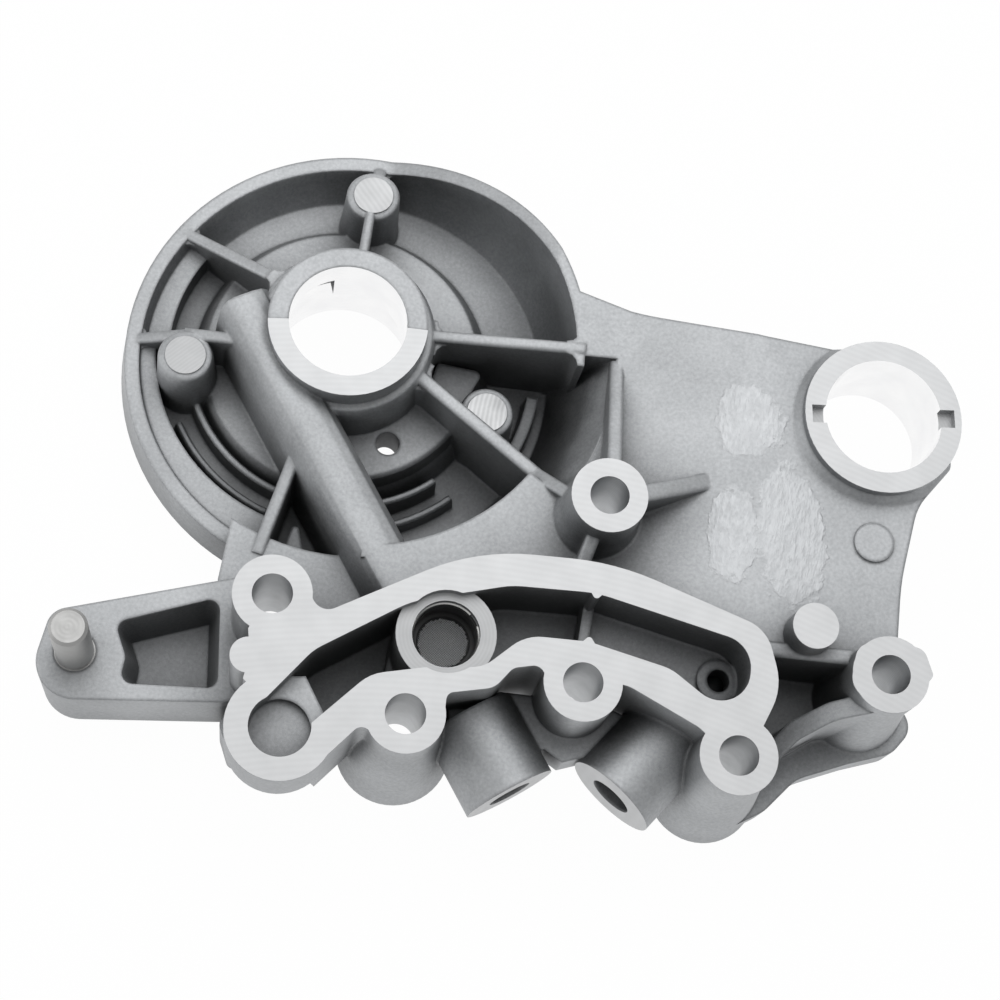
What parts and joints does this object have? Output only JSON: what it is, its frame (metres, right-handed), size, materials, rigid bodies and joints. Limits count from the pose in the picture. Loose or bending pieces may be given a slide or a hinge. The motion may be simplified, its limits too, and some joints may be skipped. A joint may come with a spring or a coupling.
{
  "type": "camshaft bearing bridge",
  "caption": "Cast aluminium bridge with bored rings for camshaft ends, a ribbed drum, an oil gallery with strainer, bolt pads and an arm with a chain rail pin.",
  "frame": {"origin": "on the axis of the intake camshaft bore, in the milled face of its ring", "axes": "+X from the intake bore to the exhaust bore, +Y away from the oil gallery, +Z along the bores towards the cylinder head"},
  "size_m": [0.2031, 0.1685, 0.049],
  "materials": {
    "cast_aluminium": "matt die cast, with milled faces",
    "turned_steel": "turned",
    "black_plastic": "matt",
    "wire_mesh": "woven",
    "spring_wire": "bright",
    "ball_steel": "polished"
  },
  "bodies": {
    "root": {"bridge_casting": "cast_aluminium", "rail_pivot_pin": "turned_steel", "strainer_cup": "black_plastic", "strainer_mesh": "wire_mesh", "strainer_retaining_ring": "spring_wire", "intake_feed_ball": "ball_steel", "exhaust_feed_ball": "ball_steel"}
  },
  "joints": []
}
